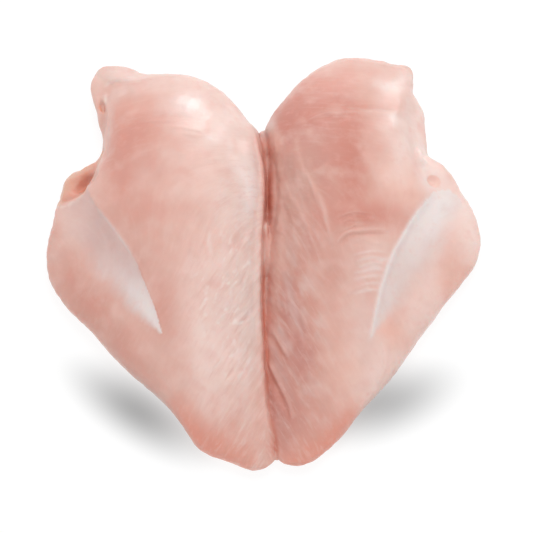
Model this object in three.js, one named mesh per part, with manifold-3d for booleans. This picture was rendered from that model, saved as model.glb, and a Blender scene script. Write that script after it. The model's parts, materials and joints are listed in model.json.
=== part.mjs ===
// A raw whole chicken breast, boned and skinned: two lobes of muscle joined along the middle,
// lying on a board with the smooth outer side up. Millimetres, +Z up, +Y from the thin tips
// towards the broad shoulder ends. The origin is on the board, under the middle of the breast.
import * as THREE from 'three';
import { mergeVertices } from 'three/addons/utils/BufferGeometryUtils.js';
import Module from 'manifold-3d';

const wasm = await Module();
wasm.setup();

// How finely a lobe is faceted: cells from the cleft to the flank, from tip to shoulder, and up.
const CELLS_ACROSS = 20;
const CELLS_ALONG = 34;
const CELLS_UP = 8;

// Small lumps and scoops are balls of this many cells around and from pole to pole.
const BALL_AROUND = 16;
const BALL_DOWN = 10;

// The underside would sag this far below the board, and is pressed flat on it instead. It is this
// much squarer at its edge than the dome above, so that the flat reaches almost to the rim.
const SETTLE = 3;
const PRESSED = 1.6;

// Half width and half length of the smooth oval that a lobe's inner contours follow.
const CORE = [44, 84];

// The share of the full thickness at each distance from the cleft towards the flank.
const ACROSS = [[0, 0.98], [22, 1], [45, 0.93], [66, 0.75], [82, 0.62], [102, 0.5]];

// How wide the slope down from the main muscle to the flank is, and how far out it levels again.
const SEAM_SLOPE = 9;
const SEAM_REACH = 14;

// A lobe's own sizes. The edge runs counter-clockwise from its point furthest east, and each point
// holds x, y, the height of the widest line above the board, and how full the dome over it is:
// 2 makes an ellipse, and more makes a squarer shoulder. The crest is the thickness along y. The
// seam is the outer edge of the main muscle, from the shoulder past the place of the wing and down
// the line of silvery sinew, with how far the flank drops below it at each share of its length.
// The creases are soft grooves across the shoulder and round the fold at the place of the wing.
const LEFT = {
  middle: [-43, -2],
  crest: [[-100, 14], [-76, 19], [-42, 26], [-6, 32.5], [29, 37], [64, 37.5], [98, 31]],
  edge: [
    [0.6, -1, 10, 3], [1.2, 34, 11, 3], [-1.4, 57, 12, 2.8], [-9.5, 70, 12, 2.6],
    [-18.5, 80.5, 13, 2.5], [-28.5, 89, 13, 2.4], [-40, 93, 13, 2.3], [-54, 93.5, 13, 2.3],
    [-62, 94.5, 12, 2.3], [-74, 99.5, 11, 2.3], [-83, 94, 11, 2.3], [-84, 84, 11, 2.4],
    [-80.5, 73, 10, 2.7], [-77.5, 61, 10, 2.9], [-80.5, 51, 10, 2.7], [-89.5, 46, 9, 2.4],
    [-97, 35, 8, 2.3], [-101, 18, 7, 2.3], [-102, 2, 7, 2.3], [-98, -14.5, 7, 2.3],
    [-83.5, -31, 6, 2.3], [-67, -49.5, 6, 2.3], [-50, -64, 6, 2.3], [-37.5, -78, 6, 2.3],
    [-27, -91, 5, 2.4], [-12, -98.5, 5, 2.5], [-0.5, -99.5, 5, 2.6], [5, -90, 6, 2.8],
    [2.4, -68, 7, 3], [0.4, -36, 9, 3],
  ],
  seam: [
    [-60, 93], [-71, 83], [-74.5, 74], [-74, 61], [-75.5, 47], [-80, 36],
    [-80, 26], [-74, 14], [-63, -5.5], [-53, -25.5], [-47, -41],
  ],
  drops: [[0, 1], [0.12, 4], [0.35, 5], [0.5, 3.4], [0.8, 2.2], [1, 0]],
  creases: [
    { path: [[-72, 62], [-57, 65], [-42, 62.5], [-23, 56]], depth: 0.8, width: 5 },
    { path: [[-76, 76], [-73, 84.5], [-67, 88.5], [-59, 92]], depth: 1.8, width: 3.5 },
  ],
};
const RIGHT = {
  middle: [43, -2],
  crest: [[-98, 13], [-76, 18], [-42, 25], [-6, 31.5], [29, 37], [66, 38.5], [103, 32]],
  edge: [
    [101, 5, 7, 2.3], [99, 21, 7, 2.3], [94.5, 33.5, 8, 2.3], [89, 43, 9, 2.4],
    [82, 49.5, 10, 2.6], [77.5, 57, 10, 2.8], [77, 70, 10, 2.8], [73.5, 82, 11, 2.8],
    [73, 92, 13, 2.6], [68, 98, 13, 2.4], [56, 101.5, 13, 2.3], [42.5, 102.5, 13, 2.3],
    [28.5, 98.5, 13, 2.3], [15.5, 88, 13, 2.4], [5.5, 76, 12, 2.6], [0.8, 61, 12, 2.6],
    [4.2, 41.5, 10, 2.5], [3.8, 23.5, 9, 2.4], [1, -1, 9, 2.3], [-0.2, -37, 8, 2.1],
    [2, -69, 7, 2.1], [4.4, -89, 6, 2.4], [11, -97.5, 5, 2.4], [20, -96.5, 5, 2.4],
    [32, -87.5, 5, 2.3], [42, -75, 6, 2.3], [56.5, -59.5, 6, 2.3], [74, -35, 6, 2.3],
    [91.5, -12, 7, 2.3],
  ],
  seam: [
    [71.5, 92], [69.5, 80], [67.5, 68], [67.5, 57], [70.5, 46], [74.5, 36],
    [76, 26], [67, 12], [58.3, -5], [52, -23.5], [47.7, -44],
  ],
  drops: [[0, 1], [0.12, 3.5], [0.35, 4.5], [0.5, 3.2], [0.8, 2.2], [1, 0]],
  creases: [
    { path: [[13, 50.5], [21, 60], [38, 66.5], [64, 70.5]], depth: 0.8, width: 5 },
  ],
};

// The groove round the inner fillet, on the underside of each lobe.
const FILLET_GROOVE = { depth: 2.2, width: 5 };
const FILLET = [[9, 52], [34, 38], [42, 6], [32, -30], [12, -64]];

// At the places of the wings: a pocket in the left flank, the cut end of a muscle in the right
// one, and a knot of fat. Each has its middle, its half sizes, and its turn about +Z in degrees.
const POCKET = { at: [-86.5, 35.5, 21], half: [11, 4.6, 11], turn: 38 };
const CUT_END = { at: [80, 36.4, 19], half: [4, 4.2, 4.5], turn: 0 };
const FAT_KNOT = { at: [73, 47.5, 16.6], half: [3.2, 5, 3.4], turn: 15 };

// The thin web that joins the lobes at the bottom of the cleft.
const WEB = { at: [1.8, -15, 5], half: [6, 79, 4], turn: 2.4 };
const WEB_AROUND = 10;
const WEB_DOWN = 24;

// Value at t on a smooth curve through stations of [t, value].
function stationValue(stations, t) {
  const last = stations.length - 1;
  const place = THREE.MathUtils.clamp(t, stations[0][0], stations[last][0]);
  const i = Math.min(last - 1, stations.findLastIndex(([start]) => start <= place));
  const slope = (j) => {
    const [before, from] = stations[Math.max(0, j - 1)];
    const [after, to] = stations[Math.min(last, j + 1)];
    return (to - from) / (after - before);
  };
  const [start, from] = stations[i];
  const [end, to] = stations[i + 1];
  const length = end - start;
  const u = (place - start) / length;
  return from * (1 + 2 * u) * (1 - u) ** 2 + slope(i) * length * u * (1 - u) ** 2
    + to * u * u * (3 - 2 * u) + slope(i + 1) * length * u * u * (u - 1);
}

// Short straight steps along a smooth curve in plan.
const PATH_STEPS = 40;
function planPath(points) {
  return new THREE.SplineCurve(points.map(([x, y]) => new THREE.Vector2(x, y))).getPoints(PATH_STEPS);
}

// Where a point lies in plan beside a path: its distance, positive to the left of the path's
// direction, and the share of the path behind it.
function besidePath(steps, x, y) {
  let near = { distance: Infinity, share: 0 };
  for (let i = 0; i + 1 < steps.length; i++) {
    const [dx, dy] = [steps[i + 1].x - steps[i].x, steps[i + 1].y - steps[i].y];
    const [px, py] = [x - steps[i].x, y - steps[i].y];
    const along = THREE.MathUtils.clamp((px * dx + py * dy) / (dx * dx + dy * dy), 0, 1);
    const distance = Math.hypot(px - dx * along, py - dy * along);
    if (distance < Math.abs(near.distance)) {
      const side = dx * py - dy * px < 0 ? -1 : 1;
      near = { distance: distance * side, share: (i + along) / (steps.length - 1) };
    }
  }
  return near;
}

// How far a soft groove along a path lowers the surface at a point.
function grooveDepth(steps, { depth, width }, x, y) {
  return depth * Math.exp(-((besidePath(steps, x, y).distance / width) ** 2));
}

// How far the flank lies below the main muscle at a point outside the seam.
function seamDrop(steps, drops, outward, x, y) {
  const { distance, share } = besidePath(steps, x, y);
  const outside = distance * outward;
  const slope = THREE.MathUtils.smoothstep(outside, -SEAM_SLOPE / 2, SEAM_SLOPE / 2);
  const level = Math.exp(-((Math.max(0, outside) / SEAM_REACH) ** 2));
  return stationValue(drops, share) * slope * level;
}

// A box's grid blown up to a ball, its shared corners merged.
function roundGrid(across, along, up) {
  const box = new THREE.BoxGeometry(1, 1, 1, across, along, up);
  box.deleteAttribute('normal');
  box.deleteAttribute('uv');
  const grid = mergeVertices(box);
  const position = grid.getAttribute('position');
  const corner = new THREE.Vector3();
  for (let i = 0; i < position.count; i++) {
    corner.fromBufferAttribute(position, i).normalize();
    position.setXYZ(i, corner.x, corner.y, corner.z);
  }
  return grid;
}

// The rim's point and the fullness of the dome over it, at a share of the way round the lobe.
function rimAt(rim, edge, turn) {
  const t = rim.getUtoTmapping(turn);
  const step = t * edge.length;
  const i = Math.floor(step);
  const [here, next] = [edge[i % edge.length][3], edge[(i + 1) % edge.length][3]];
  return { widest: rim.getPoint(t), fullness: THREE.MathUtils.lerp(here, next, step - i) };
}

// One lobe: the ball stretched to the lobe's edge in plan, domed above it and settled below it.
function lobeGeometry({ middle, crest, edge, seam, drops, creases }) {
  const rim = new THREE.CatmullRomCurve3(
    edge.map(([x, y, z]) => new THREE.Vector3(x, y, z)), true, 'centripetal');
  const outward = Math.sign(middle[0]);
  const seamSteps = planPath(seam);
  const creaseSteps = creases.map(({ path }) => planPath(path));
  const filletSteps = planPath(FILLET.map(([x, y]) => [x * outward, y]));
  const grid = roundGrid(CELLS_ACROSS, CELLS_ALONG, CELLS_UP);
  const position = grid.getAttribute('position');
  for (let i = 0; i < position.count; i++) {
    const [a, b, c] = [position.getX(i), position.getY(i), position.getZ(i)];
    const share = Math.min(1, Math.hypot(a, b));
    const turn = (Math.atan2(b, a) / (2 * Math.PI) + 1) % 1;
    const { widest, fullness } = rimAt(rim, edge, turn);
    const shape = c > 0 ? fullness : fullness + PRESSED;
    const dome = (1 - share ** shape) ** (1 / shape);

    // Near the middle the contours follow the smooth oval, and near the edge the true edge.
    const lean = share ** 2;
    const towards = [middle[0] + (widest.x - middle[0]) * share, middle[1] + (widest.y - middle[1]) * share];
    const x = THREE.MathUtils.lerp(middle[0] + CORE[0] * a, towards[0], lean);
    const y = THREE.MathUtils.lerp(middle[1] + CORE[1] * b, towards[1], lean);

    // The seam and the creases fade out in the roll of the dome down to the rim.
    let z;
    if (c > 0) {
      const thickness = stationValue(crest, y) * stationValue(ACROSS, Math.abs(x));
      z = widest.z + (thickness - widest.z) * dome;
      z -= seamDrop(seamSteps, drops, outward, x, y) * Math.min(1, dome * 2);
      creases.forEach((crease, k) => {
        z -= grooveDepth(creaseSteps[k], crease, x, y) * dome;
      });
    } else {
      z = Math.max(0, widest.z - (widest.z + SETTLE) * dome);
      z += grooveDepth(filletSteps, FILLET_GROOVE, x, y) * dome;
    }
    position.setXYZ(i, x, y, z);
  }
  return grid;
}

// A ball stretched to three half sizes, turned about +Z and put in its place.
function ballGeometry({ at, half, turn }, around = BALL_AROUND, down = BALL_DOWN) {
  const ball = new THREE.SphereGeometry(1, around, down);
  ball.deleteAttribute('normal');
  ball.deleteAttribute('uv');
  ball.scale(...half);
  ball.rotateZ(THREE.MathUtils.degToRad(turn));
  ball.translate(...at);
  return mergeVertices(ball, 1e-4);
}

function solid(geometry) {
  const vertProperties = new Float32Array(geometry.getAttribute('position').array);
  const triVerts = new Uint32Array(geometry.index.array);
  return new wasm.Manifold(new wasm.Mesh({ numProp: 3, vertProperties, triVerts }));
}

const left = solid(lobeGeometry(LEFT)).subtract(solid(ballGeometry(POCKET)));
const right = solid(lobeGeometry(RIGHT))
  .subtract(solid(ballGeometry(CUT_END)))
  .add(solid(ballGeometry(FAT_KNOT)));
const web = solid(ballGeometry(WEB, WEB_AROUND, WEB_DOWN));
const whole = left.add(right).add(web);

const joined = whole.getMesh();
const geometry = new THREE.BufferGeometry();
geometry.setAttribute('position', new THREE.BufferAttribute(new Float32Array(joined.vertProperties), 3));
geometry.setIndex(new THREE.BufferAttribute(new Uint32Array(joined.triVerts), 1));

// The middle of the outline goes exactly over the origin.
geometry.computeBoundingBox();
const { min, max } = geometry.boundingBox;
geometry.translate(-(min.x + max.x) / 2, -(min.y + max.y) / 2, -min.z);
geometry.computeVertexNormals();

const flesh = new THREE.MeshStandardMaterial({ color: 0xe6b3a6, roughness: 0.4, metalness: 0 });
const breast = new THREE.Mesh(geometry, flesh);
breast.name = 'chicken_breast';

const group = new THREE.Group();
group.add(breast);

export default group;
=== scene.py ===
# %% [markdown]
# # A raw chicken breast
# A whole breast, boned and skinned: two lobes of pale pink muscle joined along the middle and
# lying smooth side up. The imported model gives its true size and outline. This lesson dresses it:
# it rounds the facets away, lays on the small rolls, cords and knots that the knife left, carves
# the folds and the grain of the muscle, and gives the meat its wet and slightly see-through look.

# %% Loading the frame
import json
import math

import bpy
import numpy as np
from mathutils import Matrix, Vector

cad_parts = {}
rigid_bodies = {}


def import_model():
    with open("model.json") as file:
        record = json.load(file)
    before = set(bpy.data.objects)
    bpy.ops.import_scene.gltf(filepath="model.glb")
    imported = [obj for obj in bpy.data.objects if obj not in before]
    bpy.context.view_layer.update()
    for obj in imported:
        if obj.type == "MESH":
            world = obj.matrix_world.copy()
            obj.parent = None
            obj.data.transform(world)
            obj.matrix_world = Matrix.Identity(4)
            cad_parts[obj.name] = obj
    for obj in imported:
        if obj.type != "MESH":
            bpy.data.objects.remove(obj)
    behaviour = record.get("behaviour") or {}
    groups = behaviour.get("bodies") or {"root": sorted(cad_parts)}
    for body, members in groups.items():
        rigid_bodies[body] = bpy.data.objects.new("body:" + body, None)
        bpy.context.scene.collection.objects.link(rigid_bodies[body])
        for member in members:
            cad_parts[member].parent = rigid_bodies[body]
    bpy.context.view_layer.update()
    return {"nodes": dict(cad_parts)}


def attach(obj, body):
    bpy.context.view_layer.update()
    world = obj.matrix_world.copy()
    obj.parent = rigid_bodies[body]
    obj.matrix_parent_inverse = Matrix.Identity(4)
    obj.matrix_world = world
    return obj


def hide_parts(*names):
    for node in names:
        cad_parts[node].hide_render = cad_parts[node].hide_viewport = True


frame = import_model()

# %% [markdown]
# Lengths here are written in millimetres, as a butcher would measure them, and Blender counts in
# metres. One factor turns the first into the second wherever a length is handed over.

# %% Millimetres
MM = 0.001


def metres(point):
    """A point in millimetres as a Blender vector in metres."""
    return Vector(point) * MM


# %% [markdown]
# The picture is taken from above the thin end, at seventy degrees, with a long lens, so that the
# breast hardly narrows towards its far side. The camera's distance follows from the lens and from
# how many millimetres one pixel should cover at the meat.

# %% The camera
IMAGE_PIXELS = 533
LENS_MM = 100
SENSOR_MM = 36
MM_PER_PIXEL = 0.463
CAMERA_SLOPE = math.radians(70)
AIM = (1.5, -8.0, 15.0)

distance = MM_PER_PIXEL * IMAGE_PIXELS * LENS_MM / SENSOR_MM
away = Vector((0, -math.cos(CAMERA_SLOPE), math.sin(CAMERA_SLOPE)))
bpy.ops.object.camera_add(location=metres(AIM) + away * distance * MM,
                          rotation=(math.pi / 2 - CAMERA_SLOPE, 0, 0))
camera = bpy.context.object
camera.name = "camera"
camera.data.lens = LENS_MM
camera.data.sensor_width = SENSOR_MM
bpy.context.scene.camera = camera
print("camera distance in mm:", round(distance, 1))

# %% [markdown]
# A finish is a net of nodes. A few small helpers add nodes to the net in hand and join them, for
# the floor here and for the meat at the end.

# %% Helpers for nodes
def new_finish(name):
    """A new material, its net of nodes and its shader."""
    material = bpy.data.materials.new(name)
    material.use_nodes = True
    return material, material.node_tree, material.node_tree.nodes["Principled BSDF"]


def feed(socket, value):
    """Joins a socket to another one, or sets it to a number or a colour."""
    if isinstance(value, bpy.types.NodeSocket):
        tree.links.new(value, socket)
    else:
        socket.default_value = value


def feed_all(node, inputs):
    """Feeds several inputs of a node, each by its name or number."""
    for name, value in inputs.items():
        feed(node.inputs[name], value)


def add(kind, inputs=None, **settings):
    """Adds a node, sets its properties, and feeds its inputs."""
    node = tree.nodes.new(kind)
    for name, value in settings.items():
        setattr(node, name, value)
    feed_all(node, inputs or {})
    return node


def math_of(operation, first, second):
    """The outcome of one operation on two numbers or sockets."""
    return add("ShaderNodeMath", {0: first, 1: second}, operation=operation).outputs[0]


def ramp(value, low, high, to_low=0.0, to_high=1.0, **settings):
    """Stretches a value from one range to another and stops at both ends."""
    return add("ShaderNodeMapRange", {"Value": value, "From Min": low, "From Max": high,
                                      "To Min": to_low, "To Max": to_high},
               **settings).outputs["Result"]


# %% [markdown]
# The floor is a plain pale sheet that glows, as a photographer's light table does, so that the shadows on
# it stay light. It isn't part of the object. The picture has a soft shade in front of each flank and none
# under the thin end, which no single lamp gives.
# So the table glows less inside two soft ovals, which are painted shadows. Each has a middle, half sizes,
# a turn and a depth, and fades out at its reach, which counts in half sizes.

# %% The floor
FLOOR_SIDE = 6
FLOOR_GREY = 0.17
FLOOR_GLOW = 0.86
SHADES = (((-57.5, -73), (28.6, 11), -33.5, 0.68), ((56.6, -69.2), (26.5, 12.1), 21.5, 0.58))
SHADE_REACH = 1.75

bpy.ops.mesh.primitive_plane_add(size=FLOOR_SIDE)
floor = bpy.context.object
floor.name = "floor"

floor_finish, tree, shader = new_finish("pale_floor")
floor_place = add("ShaderNodeTexCoord").outputs["Object"]
glow = FLOOR_GLOW
# Each oval is a painted shadow: the floor glows less inside it.
for middle, half, turn, depth in SHADES:
    in_oval = add("ShaderNodeMapping", {"Vector": floor_place, "Location": metres((*middle, 0)),
                                        "Rotation": (0, 0, math.radians(turn)),
                                        "Scale": (half[0] * MM, half[1] * MM, 1)},
                  vector_type="TEXTURE").outputs[0]
    far_out = add("ShaderNodeVectorMath", {0: in_oval}, operation="LENGTH").outputs["Value"]
    open_light = ramp(far_out, 0.0, SHADE_REACH, 1 - depth, interpolation_type="SMOOTHSTEP")
    glow = math_of("MULTIPLY", glow, open_light)
feed_all(shader, {"Base Color": (FLOOR_GREY, FLOOR_GREY, FLOOR_GREY, 1), "Roughness": 0.7,
                  "Specular IOR Level": 0.1, "Emission Color": (1, 1, 1, 1),
                  "Emission Strength": glow})
floor.data.materials.append(floor_finish)

# %% [markdown]
# Food is lit softly and from behind. A white sky fills everything. A broad key behind the breast
# gives the form and lets the shadows fall towards the viewer: its own reflection is kept off the
# wet surface. Two windows stand low behind the shoulders and are only there for their
# reflections, the wet highlights. A lamp's place is given as a compass angle from +Y towards +X,
# a height angle and a distance from the meat.

# %% The light
SKY = (1.0, 1.0, 1.0, 1)
SKY_STRENGTH = 0.68
LAMPS = {
    "key": {"compass": 10, "height": 62, "far": 800, "size": (400, 400), "watts": 2.4},
    "left_window": {"compass": -2, "height": 25, "far": 650, "size": (185, 125), "watts": 0.46},
    "right_window": {"compass": 39, "height": 20.5, "far": 650, "size": (170, 170), "watts": 0.4},
}

world = bpy.data.worlds.new("sky")
bpy.context.scene.world = world
world.use_nodes = True
world.node_tree.nodes["Background"].inputs["Color"].default_value = SKY
world.node_tree.nodes["Background"].inputs["Strength"].default_value = SKY_STRENGTH

for name, lamp in LAMPS.items():
    compass, slope = math.radians(lamp["compass"]), math.radians(lamp["height"])
    towards = Vector((math.sin(compass) * math.cos(slope), math.cos(compass) * math.cos(slope),
                      math.sin(slope)))
    bpy.ops.object.light_add(type="AREA", location=metres(AIM) + towards * lamp["far"] * MM)
    light = bpy.context.object
    light.name = name
    light.data.shape = "RECTANGLE"
    light.data.size, light.data.size_y = lamp["size"][0] * MM, lamp["size"][1] * MM
    light.data.energy = lamp["watts"]
    light.visible_glossy = name != "key"
    light.visible_diffuse = name == "key"
    light.rotation_euler = towards.to_track_quat("Z", "Y").to_euler()

# %% [markdown]
# The colours are shown as they are, without the filmic curve that Blender sets by default: it
# would grey the white floor and the pale meat.

# %% The view
view = bpy.context.scene.view_settings
view.view_transform = "Standard"
view.look = "None"

# %% [markdown]
# An operator works on whatever is selected, and the loaded model is selected from the start. So
# each step first says what it works on.

# %% Small tools
def select_only(*pieces):
    """Selects these pieces and nothing else, and makes the first one active."""
    bpy.ops.object.select_all(action="DESELECT")
    for piece in pieces:
        piece.select_set(True)
    bpy.context.view_layer.objects.active = pieces[0]


def finish_with(piece, kind, **settings):
    """Adds one modifier to a piece, sets it and applies it."""
    select_only(piece)
    modifier = piece.modifiers.new(kind.lower(), kind)
    for name, value in settings.items():
        setattr(modifier, name, value)
    bpy.ops.object.modifier_apply(modifier=modifier.name)


# %% [markdown]
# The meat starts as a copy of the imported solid, so that it has the true outline from every side.
# Its loose triangles are merged, and one round of subdivision melts the facets into curves. The
# subdivision draws the surface in by a hair, and a small push outwards gives that back.

# %% The meat's body
MERGE_WITHIN = 0.01 * MM
PUSH_OUT = 0.3 * MM

solid = frame["nodes"]["chicken_breast"]
select_only(solid)
bpy.ops.object.duplicate()
meat = bpy.context.object
meat.name = "meat"
bpy.ops.object.parent_clear(type="CLEAR_KEEP_TRANSFORM")
for mark in [key for key in meat.keys() if key.startswith("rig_")]:
    del meat[mark]
meat.data.materials.clear()

bpy.ops.object.mode_set(mode="EDIT")
bpy.ops.mesh.select_all(action="SELECT")
bpy.ops.mesh.remove_doubles(threshold=MERGE_WITHIN)
bpy.ops.object.mode_set(mode="OBJECT")
finish_with(meat, "SUBSURF", levels=1, render_levels=1)
finish_with(meat, "DISPLACE", strength=PUSH_OUT, mid_level=0)
print("body:", len(meat.data.vertices), "points")

# %% [markdown]
# The small forms are laid on the body by their places in plan, as seen from straight above. A ray
# dropped from above says how high the meat is there.

# %% Finding the surface
RAY_START = 0.2


def on_surface(x, y, lift=0.0):
    """The point on top of the meat over a place in plan, in millimetres, raised by lift."""
    hit, place, _, _ = meat.ray_cast(Vector((x * MM, y * MM, RAY_START)), Vector((0, 0, -1)))
    return Vector((x, y, place.z / MM + lift if hit else lift))


def smooth_path(corners, steps_each=6):
    """Short steps along a smooth curve through corners of two or three numbers."""
    corners = np.array(corners, float)
    before = np.vstack([2 * corners[0] - corners[1], corners, 2 * corners[-1] - corners[-2]])
    steps = []
    for a, b, c, d in zip(before, before[1:], before[2:], before[3:]):
        for t in np.arange(steps_each) / steps_each:
            steps.append(0.5 * (2 * b + (c - a) * t + (2 * a - 5 * b + 4 * c - d) * t ** 2
                                + (3 * b - a - 3 * c + d) * t ** 3))
    return np.array(steps + [corners[-1]])


def shifted(path, by_x, by_y=0):
    """The same path, moved in plan."""
    return [(x + by_x, y + by_y) for x, y in path]


# %% [markdown]
# A roll of flesh, a tendon and a strand of fat are all cords that lie half sunk in the surface.
# Each is a curve with a round bevel, thinner towards its ends, turned into a mesh with closed
# ends. A lump of fat or a fold is a ball, squashed and turned. All of them are joined to the body
# and then fused with it in one go, so that they grow out of the meat.

# %% Cords and lumps
def cord(name, corners, radius, lift=0.0, ends=0.3):
    """A cord along the surface. At both ends its radius is only the share that ends says."""
    steps = smooth_path(corners)
    bpy.ops.curve.primitive_bezier_curve_add()
    curve = bpy.context.object
    curve.name = name
    curve.data.splines.clear()
    spline = curve.data.splines.new("POLY")
    spline.points.add(len(steps) - 1)
    for i, (x, y) in enumerate(steps):
        share = i / (len(steps) - 1)
        place = on_surface(x, y, lift) * MM
        spline.points[i].co = (*place, 1)
        spline.points[i].radius = ends + (1 - ends) * math.sin(math.pi * share) ** 0.5
    curve.data.dimensions = "3D"
    curve.data.bevel_depth = radius * MM
    curve.data.bevel_resolution = 3
    curve.data.use_fill_caps = True
    select_only(curve)
    bpy.ops.object.convert(target="MESH")
    return bpy.context.object


def lump(name, place, half, turn=0.0):
    """A ball squashed to three half sizes and turned about Z, in degrees."""
    bpy.ops.mesh.primitive_uv_sphere_add(segments=32, ring_count=20, radius=MM,
                                         location=metres(place), scale=half,
                                         rotation=(0, 0, math.radians(turn)))
    ball = bpy.context.object
    ball.name = name
    bpy.ops.object.transform_apply(location=True, rotation=True, scale=True)
    return ball


# %% [markdown]
# At the left the wing was cut away. The skin side ends there in a rolled lip, which runs from the
# knob at the shoulder down to the corner of the pocket. A second, thinner layer of meat shows
# outside it.

# %% The left lip, knob and pocket rim
LEFT_LIP = [(-75.4, 80), (-74.8, 75), (-74, 69), (-74.2, 63), (-74.9, 56), (-75.8, 50),
            (-77.8, 43.5), (-80, 38.6), (-82.2, 35.6), (-83, 33), (-82.6, 30)]
LEFT_POCKET_RIM = [(-95.4, 24), (-94.8, 30), (-92.4, 35.5), (-88.4, 38.7), (-84, 41), (-79.5, 45)]
parts = [
    cord("left_lip", LEFT_LIP, 1.6, -1.1),
    cord("left_pocket_rim", LEFT_POCKET_RIM, 1.4, -0.7),
    lump("knob_fold", (-69.6, 90.6, 8.2), (12.2, 7.2, 7.2), -12),
    lump("knob_fat", (-76.0, 79.6, 12.9), (1.2, 2.4, 1.0), 6),
]

# %% [markdown]
# At the right the lip is only a pale line, which the colours draw later. Below it lie a knot of
# white fat and the round cut end of a small muscle in its ring of fat. From there a tendon runs
# down the edge of the breast muscle.

# %% The right lip, fat and tendon
RIGHT_LIP = [(70.6, 80), (69.4, 71), (69, 60), (70.4, 50), (73, 42)]
TENDON = [(77.6, 25.5), (73, 19), (68, 11), (63, 1.7), (59, -6), (55.6, -15.4), (52.6, -25),
          (50.2, -35.4), (48.2, -45.3)]
CUT_END = (80.6, 34.6)
parts += [
    cord("tendon", TENDON, 0.85, -0.3, 0.25),
    lump("right_corner", (64.2, 91.6, 11), (8.8, 6.2, 5), -6),
    lump("fat_knot", (74.8, 45.6, 14.6), (3.8, 5.8, 3.2), 8),
]
ring_steps = [(CUT_END[0] + 3.9 * math.cos(a), CUT_END[1] + 4.1 * math.sin(a))
              for a in np.linspace(-0.6 * math.pi, 1.1 * math.pi, 12)]
parts.append(cord("cut_end_ring", ring_steps, 1.1, -1.02))

# %% [markdown]
# The left lobe ends at the cleft in a thick rounded edge, which stands over the right one. The
# cleft has a soft bed of flesh, a pale strand of film still lies in it, and its top is closed by a
# small grey web.

# %% The edge of the left lobe, and strands in the cleft
CLEFT = [(-2, 56), (-0.6, 47.2), (0.8, 40), (1.3, 33), (1.2, 24), (0.7, 14), (0, 3), (-0.5, -9),
         (-0.8, -20), (-0.6, -30), (0, -39), (0.7, -48), (1.1, -57), (1.6, -66), (2.5, -73),
         (3.4, -80), (4.3, -86), (5.2, -92)]
parts.append(cord("left_edge", shifted(CLEFT, -2.9), 2.7, -1.9, 0.5))
parts += [
    lump("cleft_bed", (2.4, 27, 8), (3.2, 30, 7.5)),
    lump("cleft_wall", (5.8, 27, 12), (3.6, 34, 8.4)),
    lump("cleft_floor", (1.8, 0, 9.6), (2.8, 15, 9)),
    lump("cleft_strand", (1.5, 9.2, 17), (0.9, 4.4, 1.8), 3),
    lump("cleft_web", (1.6, 55.6, 9.5), (4.6, 7.5, 6.5)),
]

# %% [markdown]
# Fusing is done by a voxel remesh: it wraps everything that is joined in one closed skin of even
# quads, small enough for the folds that come next. A few rounds of smoothing let the cords sink
# in, as flesh does.

# %% Fusing the forms
VOXEL = 0.62 * MM
SINK_IN_ROUNDS = 9

select_only(meat, *parts)
bpy.ops.object.join()
finish_with(meat, "REMESH", mode="VOXEL", voxel_size=VOXEL)
finish_with(meat, "SMOOTH", factor=0.5, iterations=SINK_IN_ROUNDS)
print("fused:", len(meat.data.vertices), "points")

# %% [markdown]
# From here on the surface is sculpted by numbers. The points and normals are read once into
# arrays in millimetres. Strokes, dents and swells then add up in one array of heights, and at the
# end each point moves along its normal by its height.

# %% Reading the surface
FAR_OFF = 60.0
UP_GAIN = 2.2
UP_START = 0.25


def read_surface():
    """The meat's points in millimetres, its normals, and how much each point faces up, from 0 on
    undercuts to 1 on all but the steepest slopes."""
    values = np.empty((2, len(meat.data.vertices) * 3))
    meat.data.vertices.foreach_get("co", values[0])
    meat.data.vertices.foreach_get("normal", values[1])
    places, directions = values.reshape(2, -1, 3)
    return places / MM, directions, np.clip(directions[:, 2] * UP_GAIN + UP_START, 0, 1)


def keep(name, values, kind="FLOAT", field="value"):
    """Keeps a value for every point on the mesh itself, under a name."""
    attribute = meat.data.attributes.new(name, kind, "POINT")
    attribute.data.foreach_set(field, values.astype(np.float32).ravel())


points, normals, facing_up = read_surface()
height = np.zeros(len(points))


def step(value, low, high):
    """0 below low, 1 above high, and a smooth slope between."""
    t = np.clip((value - low) / (high - low), 0, 1)
    return t * t * (3 - 2 * t)


def beside(path, reach):
    """The points within reach of a path in plan: which they are, how far to the left of it each
    one lies, and the share of the path behind it."""
    low, high = path.min(0) - reach, path.max(0) + reach
    which = np.flatnonzero(np.all((points[:, :2] > low) & (points[:, :2] < high), axis=1))
    place = points[which, :2]
    nearest = np.full(len(which), np.inf)
    left = np.zeros(len(which))
    share = np.zeros(len(which))
    for i, (a, b) in enumerate(zip(path, path[1:])):
        along = b - a
        t = np.clip((place - a) @ along / (along @ along), 0, 1)
        off = place - a - t[:, None] * along
        far = np.hypot(off[:, 0], off[:, 1])
        closer = far < nearest
        side = np.where(along[0] * off[:, 1] - along[1] * off[:, 0] < 0, -1.0, 1.0)
        nearest[closer] = far[closer]
        left[closer] = (far * side)[closer]
        share[closer] = ((i + t) / (len(path) - 1))[closer]
    near = nearest < reach
    return which[near], left[near], share[near]


def distance_to(corners):
    """How far every point is from a path in plan, at most FAR_OFF."""
    far = np.full(len(points), FAR_OFF)
    which, left, _ = beside(smooth_path(corners), FAR_OFF)
    far[which] = np.abs(left)
    return far


def within(corners):
    """Whether each point lies inside an outline in plan."""
    x, y = points[:, 0], points[:, 1]
    odd = np.zeros(len(points), bool)
    for (ax, ay), (bx, by) in zip(corners, corners[1:] + corners[:1]):
        crosses = (ay > y) != (by > y)
        at = (bx - ax) * (y - ay) / (by - ay if by != ay else 1e-9) + ax
        odd ^= crosses & (x < at)
    return odd


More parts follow.
